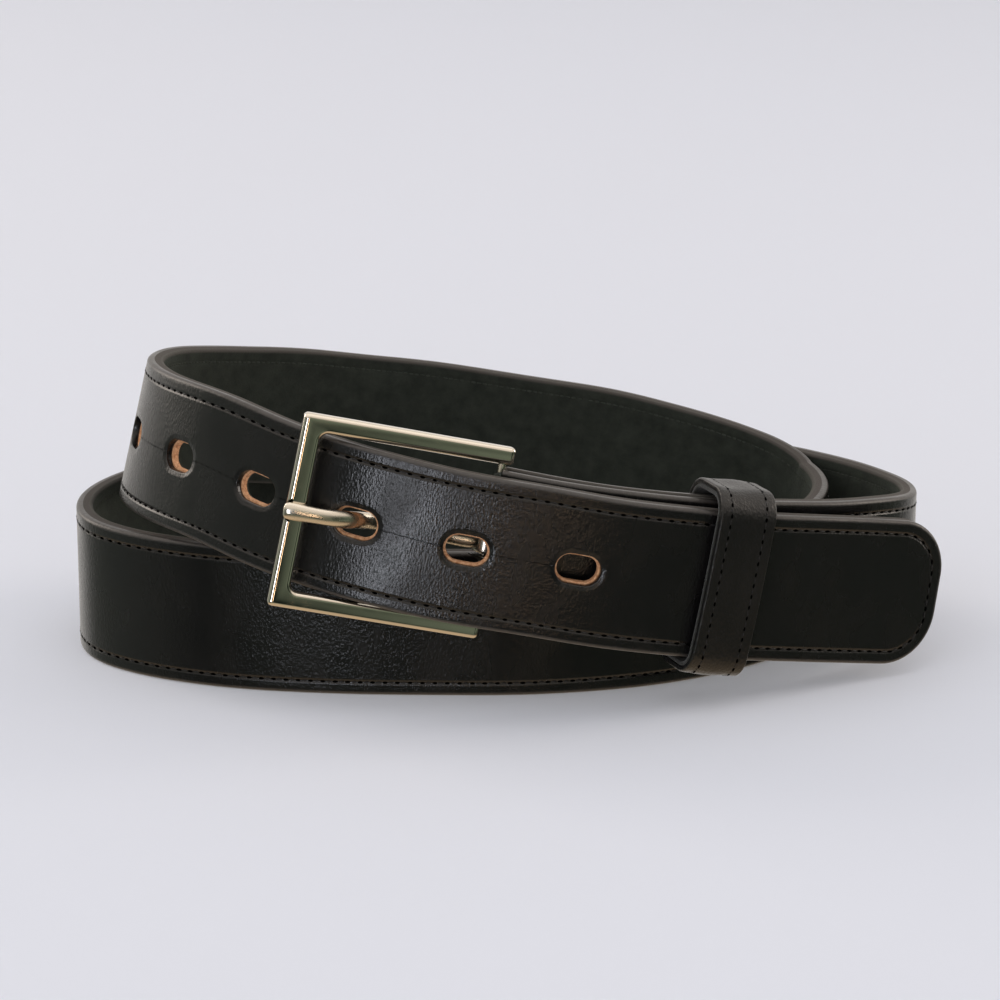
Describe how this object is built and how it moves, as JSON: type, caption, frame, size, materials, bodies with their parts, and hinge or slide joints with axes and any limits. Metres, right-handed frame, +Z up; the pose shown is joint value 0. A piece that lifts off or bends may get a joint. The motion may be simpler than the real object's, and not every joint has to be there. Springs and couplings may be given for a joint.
{
  "type": "leather belt",
  "caption": "Black leather dress belt with a square metal frame buckle, prong and stitched keeper, buckled on itself and rolled into two turns standing on the lower edge.",
  "frame": {"origin": "middle of the footprint of the roll, on the surface the belt stands on", "axes": "+X runs along the longer way across the roll, to the right seen from the buckle side; +Z is up, across the width of the strap; the buckle faces -Y"},
  "size_m": [0.2074, 0.1256, 0.0728],
  "materials": {
    "black_leather": "smooth black cowhide with a light semi-gloss finish, edges burnished",
    "tan_leather": "undyed tan filler leather, seen only at the holes",
    "lining_leather": "black suede-like lining, matte",
    "black_thread": "black bonded sewing thread",
    "polished_nickel": "polished nickel plate"
  },
  "bodies": {
    "belt": {"strap_face": "black_leather", "strap_core": "tan_leather", "strap_lining": "lining_leather", "seam_thread_face": "black_thread", "seam_thread_lining": "black_thread", "fold_seam_bar": "black_thread", "fold_seam_end": "black_thread"},
    "frame": {"buckle_frame": "polished_nickel", "heel_bar": "polished_nickel"},
    "prong": {"prong": "polished_nickel"},
    "keeper": {"keeper_face": "black_leather", "keeper_lining": "lining_leather", "keeper_seam_left": "black_thread", "keeper_seam_right": "black_thread"}
  },
  "joints": [
    {"name": "frame_swing", "type": "hinge", "parent": "belt", "child": "frame", "pos_m": [-0.00403, -0.05022, 0.04035], "axis": [0.2036, 0.113, 0.9725], "range_deg": [-1.2, 0.2]},
    {"name": "prong_hinge", "type": "hinge", "parent": "belt", "child": "prong", "pos_m": [-0.00403, -0.05022, 0.04035], "axis": [0.2036, 0.113, 0.9725], "range_deg": [-0.2, 1]},
    {"name": "keeper_slide", "type": "slide", "parent": "belt", "child": "keeper", "axis": [0.9267, 0.3445, -0.1502], "range_m": [-0.003, 0.005]}
  ]
}
